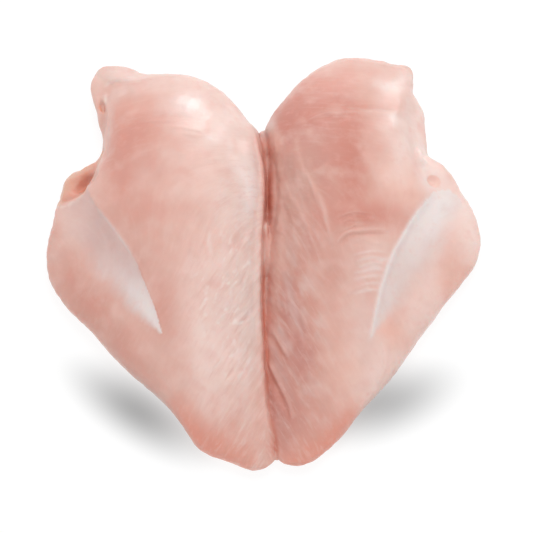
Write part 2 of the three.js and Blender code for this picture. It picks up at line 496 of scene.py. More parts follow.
def oval(place, half, turn=0.0, sway=0.0):
    """How far out each point is from an oval's middle in plan: 0 there and 1 on the oval. A sway
    moves the points first, so that the oval comes out ragged."""
    off = points[:, :2] + sway - np.array(place)
    c, s = math.cos(math.radians(turn)), math.sin(math.radians(turn))
    u = (off[:, 0] * c + off[:, 1] * s) / half[0]
    v = (off[:, 1] * c - off[:, 0] * s) / half[1]
    return np.hypot(u, v)


# %% [markdown]
# Muscle has a grain. From the thick outer shoulder the fibres run flat across each lobe, and
# lower down they turn towards the point, steeply so beside the cleft. Both lobes mirror each
# other. Each point gets three measures: across the fibres, along them, and in depth. The noise
# that roughens and streaks the meat reads these instead of plain places, so that it is drawn out
# along the fibres. The two lobes read it at depths far apart, or their streaks would mirror too.

# %% The grain
MIDDLE_X = 1.0
LOBES_APART = 40
NOISE_GAIN = 1.6


def grain_of(places):
    """Across, along and in depth of the fibres, in millimetres, for rows of places."""
    turn_down = np.radians(4 + 54 * (1 - step(places[:, 1], -15, 45)))
    outwards = np.abs(places[:, 0] - MIDDLE_X)
    across = outwards * np.sin(turn_down) + places[:, 1] * np.cos(turn_down)
    along = outwards * np.cos(turn_down) - places[:, 1] * np.sin(turn_down)
    apart = np.where(places[:, 0] > MIDDLE_X, LOBES_APART, -LOBES_APART)
    return np.stack([across, along, places[:, 2] + apart], axis=1)


grain = grain_of(points)


def noise(place, seed):
    """Smooth random heights from -1 to 1, one for each row of places, with features 1 wide."""
    draw = np.random.default_rng(seed)
    order = draw.permutation(256)
    lattice = draw.normal(size=(256, 3))
    lattice /= np.linalg.norm(lattice, axis=1, keepdims=True)
    cell = np.floor(place).astype(int)
    inner = place - cell
    ease = inner ** 3 * (inner * (inner * 6 - 15) + 10)
    total = np.zeros(len(place))
    for corner in np.ndindex(2, 2, 2):
        key = cell + corner
        slot = order[(order[(order[key[:, 0] % 256] + key[:, 1]) % 256] + key[:, 2]) % 256]
        push = np.sum(lattice[slot] * (inner - corner), axis=1)
        weight = np.prod(np.where(np.array(corner) == 1, ease, 1 - ease), axis=1)
        total += weight * push
    return total * NOISE_GAIN


# %% [markdown]
# A stroke is what a finger or a knife leaves: a ridge, a groove, or a fold that is high on its
# left and low on its right. It fades out at both ends. A fan is a family of strokes that turns
# little by little from a first path into a last one, each with its own small errors, drawn from a
# seeded generator so that every run gives the same meat.

# %% Strokes and fans
FOLD_GAIN = 2.2


def stroke(corners, width, tall, kind="ridge", fade=0.5, steps_each=6):
    """Adds one stroke to the heights. A negative height makes a ridge a groove, and turns a fold
    over."""
    which, left, share = beside(smooth_path(corners, steps_each), width * 4)
    ends = np.sin(math.pi * np.clip(share, 0.001, 0.999)) ** fade
    out = left / width
    shape = np.exp(-out ** 2) if kind == "ridge" else FOLD_GAIN * out * np.exp(-out ** 2)
    height[which] += tall * shape * ends * facing_up[which]


def fan(first, last, many, width, tall, kind="fold", seed=1, wander=0.7, lengths=(0.4, 1.0)):
    """Draws many strokes between two paths."""
    draw = np.random.default_rng(seed)
    steps = 15
    at = np.linspace(0, 1, steps)
    guides = []
    for guide in (smooth_path(first), smooth_path(last)):
        own = np.linspace(0, 1, len(guide))
        guides.append(np.stack([np.interp(at, own, guide[:, k]) for k in (0, 1)], axis=1))
    for i in range(many):
        turned = (i + draw.uniform(-0.4, 0.4)) / (many - 1)
        sway = np.cumsum(draw.normal(0, wander / 3, (steps, 2)), axis=0)
        path = guides[0] * (1 - turned) + guides[1] * turned + sway - sway.mean(0)
        length = max(4, round(steps * draw.uniform(*lengths)))
        start = draw.integers(0, steps - length + 1)
        stroke(path[start:start + length], width * draw.uniform(0.6, 1.4),
               tall * draw.uniform(0.3, 1.3), kind, steps_each=1)


# %% [markdown]
# The whole surface is a little uneven, and finely drawn out along the grain. Beside the cleft the
# torn film leaves it rougher. Each noise has a height and a size in millimetres and a seed of its
# own. The broad swells are kept, to be taken off again when the colours ask where the folds are.

# %% Unevenness
cleft_path = smooth_path(CLEFT)


def far_past_cleft():
    """How far every point lies past the cleft: above 0 on the right lobe, below 0 on the left."""
    far = np.where(points[:, 0] > MIDDLE_X, FAR_OFF, -FAR_OFF)
    which, left, _ = beside(cleft_path, FAR_OFF)
    far[which] = left
    return far


past_cleft = far_past_cleft()
beside_cleft = 1 - step(np.abs(past_cleft), 8, 40)
lower = 1 - step(points[:, 1], 5, 45)
rough = beside_cleft * lower
torn_meat = rough * step(past_cleft, 0, 2)
height += 0.16 * torn_meat * noise(grain / (3.2, 6, 6), 16) * facing_up
swells = 0.40 * noise(points / 26, 11) + 0.16 * noise(points / 8, 12)
height += swells * facing_up
height += (0.03 + 0.13 * rough) * noise(grain / (2.2, 11, 6), 13) * facing_up
height += (0.02 + 0.09 * rough) * noise(grain / (1.3, 5, 5), 14) * facing_up

# %% [markdown]
# On the right lobe the skinned surface is wrinkled in arcs above its middle. Long thin strands of
# torn film run from the cleft down and outwards, and deeper folds lie low beside the cleft.

# %% Folds of the right lobe
stroke([(34, -3), (37, 0.4), (40, 2), (44, 2.6), (49, 3.4), (57, 4.4)], 1.2, 0.42, "fold", 0.35)
fan([(33, 6.5), (38, 10), (46, 11.5), (60, 10)], [(34, 0.8), (39, 4.2), (45, 6), (60, 6.6)], 5,
    0.8, 0.25, seed=20, wander=0.5, lengths=(0.6, 1.0))
fan([(38, -4), (44, -1), (51, 0), (58, 0)], [(37, -30), (42, -26), (47, -24.5), (53, -25)], 12, 0.9,
    0.12, seed=21, wander=1.0, lengths=(0.3, 0.8))
WRINKLES = [[(41 + 1.5 * math.sin(3 * y), y - 1.6), (46, y), (50, y + 1),
             (56 + 1.5 * math.cos(2 * y), y + 1.3)]
            for y in (-6.5, -9.5, -12.2, -14.8, -17.6, -20.8, -24)]
for wrinkle in WRINKLES:
    stroke(wrinkle, 0.95, 0.17, "ridge", 0.8)
STRANDS = ([(4, 44), (8, 34), (11, 25), (15, 18), (18, 11), (20, 6), (22, 1), (25, -7)],
           [(15, 50), (16, 43), (18, 34), (21, 28), (24, 22), (26, 17), (28, 12), (29, 7), (31, 0)],
           [(9, 14), (13, 3), (18, -7), (22, -17), (27, -28)],
           [(12, 29), (17, 19), (22, 8), (27, -3), (30, -13)])
for strand, tall in zip(STRANDS, (0.14, 0.14, 0.07, 0.07)):
    stroke(strand, 1.1, tall)
fan([(4, 44), (8, 22), (13, 2), (20, -16)], [(20, 40), (25, 20), (30, 2), (35, -12)], 26, 1.2, 0.08,
    seed=22, wander=0.9, lengths=(0.3, 0.8))
fan([(3.5, -16), (7, -30), (10, -42), (13, -54)], [(16, -12), (21, -27), (27, -38), (32, -46)], 18,
    1.3, 0.09, seed=24, wander=0.9, lengths=(0.3, 0.7))
fan([(9, -48), (13, -58), (16, -67), (18, -78)], [(22, -44), (24, -55), (25, -66), (26, -78)], 9,
    1.4, 0.09, seed=25, wander=0.9, lengths=(0.3, 0.7))
BRANCH_FOLD = [(4.1, -39.6), (6, -44.2), (8, -48), (9.3, -50.4), (11, -52.6)]
stroke(BRANCH_FOLD, 1.3, 0.38, "fold", 0.4)
stroke([(30, -49.3), (36.8, -43.2), (43.7, -39)], 0.8, 0.12)
stroke([(22.5, -38), (27, -40.4), (31.5, -42.2)], 0.8, 0.12)
INNER_FOLD = [(1.0, -51), (3, -56.5), (5, -61), (7, -65.3), (8.6, -69), (10, -72.3),
              (11.4, -75.6), (12.4, -80)]
stroke(INNER_FOLD, 1.4, 0.62, "fold", 0.3)
stroke([(53, -45), (55, -50), (55, -55), (52.5, -61.5), (49, -67), (45, -73)], 1.6, -0.16, "fold")
SHOULDER_CREASE = [(17, 56), (23, 61), (31, 64), (43, 65), (58, 66), (68, 68)]
stroke(SHOULDER_CREASE, 1.8, -0.25, "fold")
fan([(16, 61), (23, 65), (31, 68), (43, 70), (58, 71)],
    [(17, 52), (24, 56), (32, 59), (42, 61), (55, 61)],
    6, 1.3, 0.07, seed=33, wander=0.6, lengths=(0.4, 0.9))

# %% [markdown]
# The left lobe is smoother. A few faint creases cross it under the shoulder, with short wrinkles
# below them, and beside the cleft fine strands run down and outwards.

# %% Folds of the left lobe
fan([(-72, 64), (-63, 65), (-49, 64), (-34, 62), (-26, 58)],
    [(-72, 59), (-63, 60), (-49, 59), (-34, 57), (-26, 53)],
    5, 1.0, 0.03, seed=32, wander=0.5, lengths=(0.5, 1.0))
for wrinkle, tall in (([(-64, 58.6), (-56, 59), (-49, 59), (-42, 58.2)], 0.08),
                      ([(-46, 54.6), (-41, 54.6), (-37, 54), (-31, 52.4), (-26, 49.6)], 0.06),
                      ([(-41, 50.6), (-35, 50), (-29, 48)], 0.06)):
    stroke(wrinkle, 1.0, tall, "fold", 0.8)
KNOB_FOLD = [(-77.5, 85.5), (-74, 87.8), (-70, 88.2), (-65, 87.4), (-60, 88), (-54, 89.5)]
stroke(KNOB_FOLD, 1.3, 0.40, "fold", 0.5)
fan([(-3, 12), (-9, 2), (-15, -6), (-22, -13)], [(-4, -52), (-9, -60), (-14, -68), (-19, -75)],
    38, 0.9, 0.15, seed=31, wander=1.6, lengths=(0.25, 0.7))
fan([(-14, 8), (-20, 0), (-27, -7), (-34, -12)], [(-10, -40), (-16, -50), (-22, -58), (-27, -66)],
    14, 0.9, 0.10, "ridge", seed=34, wander=1.2, lengths=(0.3, 0.6))

# %% [markdown]
# Along the seams the breast muscle ends and the film over the smaller muscle begins. The left
# seam is a low step, the right one carries the tendon with a shallow bed beside it. Then the
# heights are done: what they hold besides the swells is kept as relief, and each point moves.

# %% Seams and lips
LEFT_SEAM = [(-82, 28), (-80.4, 25), (-77.2, 19.3), (-73, 13.5), (-69, 7.8), (-64.9, 1.8),
             (-61.5, -3.4), (-57.5, -10.5), (-54.1, -18.7), (-51.2, -25.8), (-48.4, -32.7),
             (-47, -37.7), (-45.5, -43)]
stroke(LEFT_SEAM, 1.3, 0.18, "fold", 0.3)
stroke(shifted(TENDON, 1.9, -1.2), 1.4, -0.1, "ridge", 0.3)
stroke(shifted(LEFT_LIP[:7], -3), 1.6, -0.45, "ridge", 0.3)

keep("relief", height - swells * facing_up)
points += normals * height[:, None]

# %% [markdown]
# A dent presses the top down inside an oval. The small hole under the knob is one. The pocket is
# more: the skin side ends over it in a sharp edge, and so does the film below it. Inside these
# edges the meat drops at once, and most in the corner where they meet. Nothing may sink below the
# board.

# %% Dents
def dent(place, half, deep, turn=0.0):
    """Presses the top surface down inside an oval."""
    inside = 1 - step(oval(place, half, turn), 0.35, 1.0)
    points[:, 2] -= deep * inside * facing_up * step(points[:, 2], 3.0, 9.0)


POCKET_EDGE = [(-75.4, 52), (-75.8, 50), (-77.8, 43.5), (-80, 38.6), (-82.2, 35.6), (-83, 32.6),
               (-84.6, 29), (-89.5, 26.2), (-95, 24.6), (-99, 24)]
POCKET_OUTSIDE = [(-102, 30), (-98, 42), (-88, 50), (-80, 56)]


def pocket_cover(slope):
    """1 inside the pocket and 0 outside it, with a slope this wide inside its edge."""
    return within(POCKET_EDGE + POCKET_OUTSIDE) * step(distance_to(POCKET_EDGE), 0, slope)


corner = np.exp(-oval((-84.4, 35.5), (6, 3.4), 48) ** 2)
points[:, 2] -= pocket_cover(1.4) * (0.9 + 3.2 * corner) * facing_up
dent((-77.8, 75), (1.8, 4.4), 1.8, 15)
dent((-81, 62), (3.0, 15), 0.8)

# %% [markdown]
# The flanks are pushed out a little here and pressed in there, sideways, until the outline agrees
# with the meat's. Each push has the x and y of an oval in plan, its half sizes, and how far it
# goes, which is inwards below 0. A fine unevenness leaves small nicks along the rim, as a knife
# does.

# %% Flanks
NICKS = 0.22
flat_normals = normals[:, :2] / np.maximum(np.hypot(normals[:, 0], normals[:, 1]), 0.3)[:, None]
on_flank = 1 - step(normals[:, 2], 0.55, 0.95)
FLANK_PUSHES = [
    (101, 12, 12, 17, 1.5), (98, -7, 6, 7, 1.2), (92, -16, 8, 7, 0.6), (78, -33, 8, 7, 0.4),
    (-2, -99, 7, 8, 1.8), (14, -98, 12, 8, 1.8), (-29, -91, 9, 7, 1.7), (6.5, -96, 4, 5, 0.4),
    (9, -97, 3, 5, 0.8), (-82, 91, 7, 8, 1.7), (-77, 97, 5, 4, 0.5), (-40, 94, 26, 10, 1.3),
    (-16, 78, 12, 14, 1.2), (11, 76, 8, 14, -0.8), (77, 74, 4, 6, 1.7), (74, 83.5, 3, 3.5, -1.2),
    (70, 95, 4.5, 4, 1.5), (78, 58, 4, 7, 0.7), (77.5, 51, 3, 3.5, -1.0), (78.5, 48, 3, 3.5, -2.6),
    (84, 43, 3, 3, 0.6), (92, 32, 5, 5, -0.8), (99, 20, 5, 7, 0.5), (-103, -10, 9, 14, 1.3),
    (-89, -28, 10, 8, 1.1), (-57, -62, 14, 10, 0.8), (-38, -82, 6, 6, 0.5), (-91, 42, 5, 4, -0.5),
    (-85, 44, 3.6, 4, -2.6), (-81, 47.5, 2.6, 3, -1.0), (-94, 38, 3, 4, 1.1), (-77, 51, 3, 4, -0.9),
    (-96, 29, 4, 4, -0.7), (-99, 17, 4, 6, -0.7), (-80, 64, 3, 7, 1.2), (36, -86, 13, 12, 0.5),
    (42, 97, 18, 8, 0.8), (39, 98, 6, 6, 0.6), (2.5, 61, 3, 4, 0.9), (-4, 62, 3, 4, 0.7),
    (-1.5, 61, 2.2, 3.5, 0.8), (10, 76, 8, 8, -0.5), (-91, 41, 3, 3, 0.9), (-103, 1, 5, 6, 0.25),
    (-85.5, 41.5, 2.5, 3, -0.7)]
for x, y, half_x, half_y, far in FLANK_PUSHES:
    cover = np.exp(-oval((x, y), (half_x, half_y)) ** 2) * on_flank
    points[:, :2] += far * cover[:, None] * flat_normals
points[:, :2] += (NICKS * noise(points / 3.5, 18) * on_flank)[:, None] * flat_normals

points[:, 2] = np.maximum(points[:, 2], 0)
meat.data.vertices.foreach_set("co", (points * MM).ravel())
meat.data.update()
finish_with(meat, "SMOOTH", factor=0.3, iterations=1)
print("sculpted heights from", round(float(height.min()), 2), "to", round(float(height.max()), 2))

# %% [markdown]
# Even quads waste faces on smooth stretches and on the plain underside. Collapsing edges takes
# them away there and leaves the folds, and keeps the piece light enough to be shared. The
# surface is then read again, because its points have changed.

# %% Thinning the mesh
MOST_TRIANGLES = 190000
finish_with(meat, "DECIMATE", ratio=MOST_TRIANGLES / (2 * len(meat.data.vertices)))
points, normals, facing_up = read_surface()
grain = grain_of(points)
relief = np.empty(len(points), np.float32)
meat.data.attributes["relief"].data.foreach_get("value", relief)
meat.data.attributes.remove(meat.data.attributes["relief"])
print("thinned:", len(points), "points,", sum(len(p.vertices) - 2 for p in meat.data.polygons),
      "triangles")

# %% [markdown]
# The colours of raw meat change from place to place: red where the muscle was bruised or lies deep, milky
# where a thin film covers it, white on fat and tendon. Some washes also paint light and shade: highlights,
# glints and a sheen on the wet surface, and shade in the cleft, in the grooves and on slopes turned from
# the light. They are laid on as a painter lays watercolour, in thin washes: each one pulls the colour of
# the points under it some way towards a tone. A picture painted by hand would do as well, but it would be
# a second file.

# %% Tones and washes
# Some tones also paint light. glow is the white of fat, and also paints highlights and glints. skin and
# cream also paint glints and sheen. lean and dusky also paint shade, and the cleft's darkest red is
# painted shade.
TONES = {
    "flesh": (0.81, 0.495, 0.42), "pale": (0.82, 0.585, 0.525), "milk": (0.79, 0.595, 0.535),
    "cream": (0.93, 0.685, 0.62), "peach": (0.89, 0.54, 0.45), "blush": (0.73, 0.32, 0.255),
    "red": (0.635, 0.25, 0.19), "dusky": (0.575, 0.235, 0.195), "lean": (0.68, 0.34, 0.275),
    "coral": (0.81, 0.33, 0.245), "film": (0.675, 0.46, 0.425), "veil": (0.76, 0.60, 0.56),
    "skin": (0.87, 0.78, 0.76), "fat": (0.93, 0.77, 0.70), "deep": (0.66, 0.21, 0.14),
    "taupe": (0.60, 0.325, 0.27), "amber": (0.70, 0.27, 0.145), "tan": (0.77, 0.45, 0.33),
    "glow": (0.95, 0.79, 0.74), "wine_shade": (0.52, 0.15, 0.095),
}
tint = np.tile(TONES["flesh"], (len(points), 1))
sway = 3.0 * np.stack([noise(points / 18, 41) + 0.5 * noise(points / 6, 42),
                       noise(points / 18, 43) + 0.5 * noise(points / 6, 44)], axis=1)
past_cleft = far_past_cleft()
on_right = step(past_cleft, -0.2, 1.0)
everywhere = np.ones(len(points))


def wash(tone, cover):
    """Pulls the tint towards a tone by a cover from 0 to 1 at every point."""
    tint[:] += (np.array(TONES[tone]) - tint) * np.clip(cover, 0, 1)[:, None]


def soft_oval(place, half, turn=0.0):
    """A cover that is 1 in the middle of an oval and fades out past its wavering rim."""
    return np.exp(-oval(place, half, turn, sway) ** 2)


def soft_line(corners, width, fade=0.3, waver=0.0):
    """A cover that is 1 along a line and fades out beside it and at its ends."""
    which, left, share = beside(smooth_path(corners), width * 3 + 4 * waver)
    ends = np.sin(math.pi * np.clip(share, 0.001, 0.999)) ** fade
    cover = np.zeros(len(points))
    cover[which] = np.exp(-((left + waver * sway[which, 0]) / width) ** 2) * ends
    return cover


def wash_ovals(where, ovals):
    """Lays on one oval wash after another: tone, strength, x and y, half sizes, and turn if any."""
    for tone, strength, x, y, half_x, half_y, *turn in ovals:
        wash(tone, where * strength * soft_oval((x, y), (half_x, half_y), *turn))


def wash_lines(lines):
    """Lays on one line wash after another: tone, strength, corners, width, and fade and waver if
    they are not the usual ones."""
    for tone, strength, corners, *more in lines:
        wash(tone, strength * soft_line(corners, *more))


# %% [markdown]
# The left lobe is pale on its shoulder and milky beside the cleft, with a red bruise towards the wing and
# leaner meat along the seam. The milky tone beside the cleft is partly a painted wet sheen, the small glow
# spots there are painted glints, and a skin oval whitens the shoulder's wet highlight, a painted
# highlight.

# %% The left lobe's colours
on_left = 1 - on_right
wash_ovals(on_left, [
    ("pale", 0.75, -40, 88, 30, 10), ("pale", 0.7, -15, 66, 13, 20, 30),
    ("blush", 0.85, -62, 55, 12, 15), ("blush", 0.45, -50, 50, 18, 20),
    ("blush", 0.75, -66, 31, 6, 12, 10), ("blush", 0.55, -54, 16, 11, 6),
    ("blush", 0.35, -64, 74, 10, 9), ("blush", 0.25, -71, 50, 6, 26),
    ("cream", 0.75, -28, 55, 20, 20, -30), ("cream", 0.45, -30, 86, 24, 9, -8),
    ("cream", 0.5, -24, 32, 18, 14), ("blush", 0.35, -60, 50, 17, 22)])
wash("lean", on_left * 0.65 * soft_line([(-72, 20), (-63, -1), (-55, -16), (-47, -32), (-40, -50)],
                                        10, waver=0.5))
# Painted light in this list: the glow spots and ovals high beside the cleft are painted glints and sheen,
# the milk and skin beside the cleft are partly a painted sheen, and the skin oval on the shoulder is a
# painted highlight.
wash_ovals(on_left, [
    ("blush", 0.4, -48, -28, 7, 14, 25), ("pale", 0.5, -55, 34, 8, 6), ("milk", 0.8, -12, 24, 11, 34),
    ("milk", 0.85, -9, -26, 11, 32), ("pale", 0.6, -26, 48, 13, 6, -20),
    ("cream", 0.9, -25, -50, 12, 32, 8), ("cream", 0.5, -28, -14, 10, 18),
    ("pale", 0.45, -8, -66, 5, 18), ("skin", 0.4, -5.5, 27, 3.5, 20), ("skin", 0.3, -11, 33, 3, 5),
    ("cream", 0.6, -22, -58, 10, 18), ("glow", 0.6, -24, 46.5, 3.2, 2, -20),
    ("glow", 0.5, -15, 45, 2, 3), ("glow", 0.5, -14.5, 38.5, 2.6, 2.6),
    ("glow", 0.55, -10, 31, 3, 4.5), ("glow", 0.5, -8.6, 21.5, 1.8, 2.2),
    ("skin", 0.35, -7.5, 24, 3.5, 12), ("glow", 0.4, -16, 61, 7, 15, -25),
    ("veil", 0.35, -6, -36, 4, 20), ("cream", 0.25, -18, -8, 9, 45), ("blush", 0.3, -63, 50, 10, 14),
    ("blush", 0.3, -54, 10, 10, 6), ("peach", 0.25, -60, 69, 8, 5), ("peach", 0.35, -47, 46, 9, 7),
    ("skin", 0.35, -7, 20, 4, 12), ("skin", 0.5, -35, 69, 9, 8, -20)])

# %% [markdown]
# The right lobe is darker. A dusky tone covers its shoulder and its side towards the cleft, partly its own
# colour and partly painted shade, because that slope faces away from the light. A red band runs down its
# middle, and only its outer side is pale.

# %% The right lobe's colours
# Partly painted shade: these lean, taupe and dusky washes darken the slope that faces away from the light.
wash("lean", on_right * 0.95 * soft_line([(4, 54), (9, 21), (11, -8), (14, -36), (17, -63), (16, -90)], 20,
                                         waver=0.6))
wash_ovals(on_right, [
    ("lean", 0.8, 26, 34, 12, 24), ("taupe", 0.75, 17, 18, 15, 30, -12),
    ("taupe", 0.5, 22, 58, 17, 12, 20), ("dusky", 0.9, 20, 68, 21, 13, 25),
    ("blush", 0.6, 26, 80, 22, 12, 25), ("red", 0.35, 33, 68, 26, 11, 10),
    ("dusky", 0.7, 8, 52, 9, 12), ("blush", 0.55, 32, 84, 18, 9, 20),
    ("flesh", 0.55, 50, 92, 22, 7, -5), ("flesh", 0.35, 52, 76, 12, 10),
    ("dusky", 0.4, 21, 64, 15, 13, 25), ("red", 0.35, 38, 60, 20, 9, 10),
    ("pale", 0.85, 62, 52, 9, 22), ("pale", 0.8, 67, 84, 10, 9), ("peach", 0.75, 64, 27, 9, 12),
    ("pale", 0.9, 75, 62, 5, 20)])
wash("red", on_right * 0.95 * soft_line([(36, 68), (41, 56), (40, 37), (41, 20), (38, 4)], 8.5, waver=0.5))
# Painted light: the two glow ovals high on the outer shoulder are painted highlights, and the thin skin
# ovals on the wrinkles by the tendon are painted glints.
wash_ovals(on_right, [
    ("blush", 0.85, 50, 13, 18, 6.5), ("red", 0.75, 45, 10.5, 13, 5.5),
    ("milk", 0.35, 51, -3, 12, 3.2), ("pale", 0.65, 48, -14, 9, 7), ("flesh", 0.5, 33, -40, 12, 16),
    ("peach", 0.75, 40, -62, 12, 17), ("cream", 0.9, 52, -56, 9, 17, -10),
    ("pale", 0.75, 45, -40, 7, 14), ("blush", 0.35, 20, -82, 12, 12), ("blush", 0.5, 26, 12, 3, 5),
    ("blush", 0.5, 21, 1, 2, 4), ("skin", 0.5, 55, -11, 3.2, 1.2, 4),
    ("skin", 0.45, 52, -15, 4.5, 1.1, 4), ("skin", 0.35, 46.5, -23.4, 3.6, 1, 4),
    ("lean", 0.6, 34, -12, 9, 9), ("lean", 0.55, 22, 2, 9, 14), ("dusky", 0.25, 24, 60, 14, 16, 20),
    ("red", 0.3, 40, 45, 16, 14), ("red", 0.3, 38, 0.5, 7, 3), ("red", 0.25, 27, 22, 6, 12),
    ("glow", 0.8, 61, 81.5, 6, 5, -10), ("glow", 0.6, 62, 62.5, 4, 3.6), ("peach", 0.3, 63, 30, 8, 9),
    ("pale", 0.35, 46, 94, 24, 6, -4), ("cream", 0.45, 66, 40, 5, 11)])
patches = noise(grain / (4.5, 8, 8), 45) + 0.6 * noise(grain / (2.2, 5, 5), 46)
on_torn = on_right * np.exp(-np.hypot((points[:, 0] - 13) / 13, (points[:, 1] + 38) / 38) ** 2)
wash("red", 0.5 * on_torn * step(patches, 0.05, 0.6))
wash("veil", 0.5 * on_torn * step(-patches, 0.05, 0.6))
wash("dusky", on_right * 0.75 * soft_line([(9, -16), (12, -28), (15, -40), (18, -52), (18.5, -66)], 4.5,
                                          waver=0.5))
wash("red", on_right * 0.45 * soft_oval((15, -43), (3, 5), 20))
for strand, strength in zip(STRANDS, (0.5, 0.5, 0.3, 0.3)):
    wash("flesh", strength * soft_line(strand, 1.3, waver=0.2))
VEIL_STRIPS = [
    (0.65, 1.7, [(3.6, -42), (5.6, -47), (7.4, -52), (8.8, -58), (10, -64)]),
    (0.6, 1.5, [(3.8, -35), (7.6, -39.6), (10.4, -45), (12.6, -50)]),
    (0.35, 1.4, [(8, -12), (11, -20), (14, -30), (16, -36)]),
    (0.45, 0.8, [(11.4, -29), (14.8, -36.6), (16.8, -41.2), (18.2, -46)]),
    (0.45, 0.8, [(12.4, -56), (14.4, -60.6), (16.4, -65)]),
    (0.45, 0.9, [(9.4, -62), (11.6, -67.6), (14, -72)]),
    (0.6, 1.6, [(8, -79), (9.2, -83)])]
for strength, width, strip in VEIL_STRIPS:
    wash("veil", strength * soft_line(strip, width, waver=0.15))
wash_ovals(on_right, [
    ("lean", 0.55, 12, -70, 9, 24, 12), ("dusky", 0.5, 13, -48, 7, 17, 10),
    ("dusky", 0.35, 10, -71, 4, 15, 10)])
# Painted glints: the crests of the wrinkles are washed white.
for wrinkle in WRINKLES:
    wash("skin", 0.4 * soft_line(wrinkle, 0.6, 0.8, waver=0.1))
wash_lines([
    ("flesh", 0.75, [(6, 56), (7.4, 46), (7.8, 30), (8.2, 14), (8.2, -2), (9, -14)], 2.4),
    ("amber", 0.35, [(2, 54), (2.6, 48), (3.6, 43)], 2.0),
    ("coral", 0.4, shifted(CLEFT[:5], -1.7), 0.8)])

# %% [markdown]
# The two smaller muscles at the sides have their own tones: lean and streaked with red on the left, peach
# on the right. They also carry painted light: the left one, turned from the light, is painted darker as
# shade, and the right one paler as the lit side. The steep flanks are painted a little paler, most at the
# back, where the light comes from: a painted rim light. Soft blotches run over everything, and the rim at
# the thin end is coral.

# %% The flanks' colours
# Partly painted shade: the lean on the left flank darkens the side turned from the light, and the cream
# and peach below paint the right flank as lit.
wash_lines([
    ("lean", 0.85, [(-99, 16), (-98, 4), (-92, -10), (-82, -24), (-70, -38), (-57, -52), (-45, -66)],
     12, 0.3, 0.5),
    ("blush", 0.45, [(-92, -10), (-84, -20), (-77, -28), (-69, -34)], 3.0, 0.3, 0.3),
    ("flesh", 0.6, [(-66, -30), (-56, -40), (-46, -53), (-37, -70), (-32, -80)], 5.5, 0.3, 0.4)])
wash_ovals(everywhere, [
    ("cream", 0.55, 95, 8, 8, 16), ("peach", 0.8, 88, -14, 11, 9, 45),
    ("cream", 0.6, 74, -29, 12, 10, 45), ("peach", 0.7, 57, -41, 7, 5),
    ("peach", 0.5, 65, -47, 9, 8, 45), ("pale", 0.5, -72, 93, 16, 7),
    ("cream", 0.6, 96, 18, 9, 22, 10), ("cream", 0.5, 78, -22, 12, 9, 45),
    ("cream", 0.8, 74.5, 62, 4.5, 20), ("peach", 0.5, 92, -14, 7, 6, 45),
    ("cream", 0.6, 79, 42, 6, 10), ("cream", 0.5, 92, 27, 8, 12, -35),
    ("blush", 0.35, -22, -84, 14, 10), ("blush", 0.35, 9, -90, 9, 7), ("blush", 0.35, 34, -81, 10, 8),
    ("peach", 0.35, 86, -13, 8, 6, 45), ("lean", 0.35, -82, -23, 8, 6, -45),
    ("cream", 0.35, 94, 18, 8, 14), ("glow", 0.4, -72, 91.5, 10, 4), ("coral", 0.2, 16, -93, 9, 5),
    ("coral", 0.3, -15, -88, 9, 5), ("glow", 0.45, 74.5, 62, 3.5, 16),
    ("glow", 0.35, 84, 40, 8, 7, -30), ("cream", 0.3, 97, 12, 5, 16)])
# Painted rim light: the steep sides are paler, and those that face the back, where the light comes from,
# paler still.
wash("pale", 0.3 * (1 - step(normals[:, 2], -0.2, 0.5)))
wash("glow", 0.4 * step(normals[:, 1], 0.4, 0.95))
wash("flesh", 0.5 * soft_line([(1.6, 24), (2.4, 10), (3, 0), (4.5, -12)], 2.4))
wash("dusky", 0.45 * on_right * soft_line([(7, -60), (8.5, -72), (9.5, -84), (9.5, -93)], 3.2))
wash_ovals(on_right, [
    ("lean", 0.3, 26, 70, 12, 12), ("dusky", 0.25, 29, 46, 10, 18), ("red", 0.4, 10, 57, 7, 6),
    ("red", 0.35, 37, 66, 8, 4), ("dusky", 0.3, 22, 1, 7, 9), ("lean", 0.25, 36, -10, 9, 8),
    ("red", 0.25, 17, -98, 9, 5), ("dusky", 0.3, 9, -52, 3, 8, 10), ("lean", 0.3, 89, -11, 6, 6),
    ("coral", 0.2, 58, -43, 5, 5), ("red", 0.3, 41, 36, 7, 12), ("peach", 0.3, 59, 36, 5, 12),
    ("glow", 0.35, 79, 36, 6, 6), ("glow", 0.35, 93, 23, 6, 8), ("glow", 0.35, 64, -51, 6, 6),
    ("glow", 0.25, 48, -66, 8, 6), ("glow", 0.25, 74, -38, 6, 6), ("red", 0.25, 20, 62, 9, 10),
    ("dusky", 0.25, 13, -76, 6, 14)])
# The glow along the right lip is painted light on a side that turns away from the lamps.
wash_lines([
    ("glow", 0.4, [(67.8, 71), (68.3, 56), (64, 42), (61, 29)], 4),
    ("glow", 0.35, [(90, 28), (97, 16), (100, 4)], 3.5),
    ("skin", 0.3, [(83, 6), (79, -5), (74, -18)], 4)])
wash_ovals(on_left, [
    ("red", 0.25, -60, 45, 18, 18), ("lean", 0.2, -45, 0, 18, 20), ("lean", 0.25, -46, 45, 10, 8),
    ("lean", 0.2, -50, -38, 5, 5), ("glow", 0.2, -96, 0, 5, 8), ("lean", 0.3, -68, 78, 8, 5),
    ("veil", 0.2, -16, -34, 8, 20), ("coral", 0.2, -58, -50, 7, 7), ("glow", 0.3, -65, 80, 14, 6)])
blotches = noise(points / 9, 47) + 0.3 * noise(points / 4, 48)
wash("blush", 0.25 * step(blotches, 0.1, 0.9))
wash("cream", 0.25 * step(-blotches, 0.1, 0.9))
wash_lines([
    ("coral", 0.95, [(-42, -70), (-34, -82), (-27, -90), (-15, -95), (-2, -98)], 6.5, 0.4, 0.3),
    ("coral", 0.9, [(44, -74), (36, -84), (28, -91), (18, -97), (9, -98)], 6.0, 0.4, 0.3)])

# %% [markdown]
# The film over each smaller muscle is crisp where it ends at the seam, and thins out towards the
# flank. So its strength grows with the share of the way from its outer edge to the seam. On the
# left it turns white towards its tip, on the right towards its top.

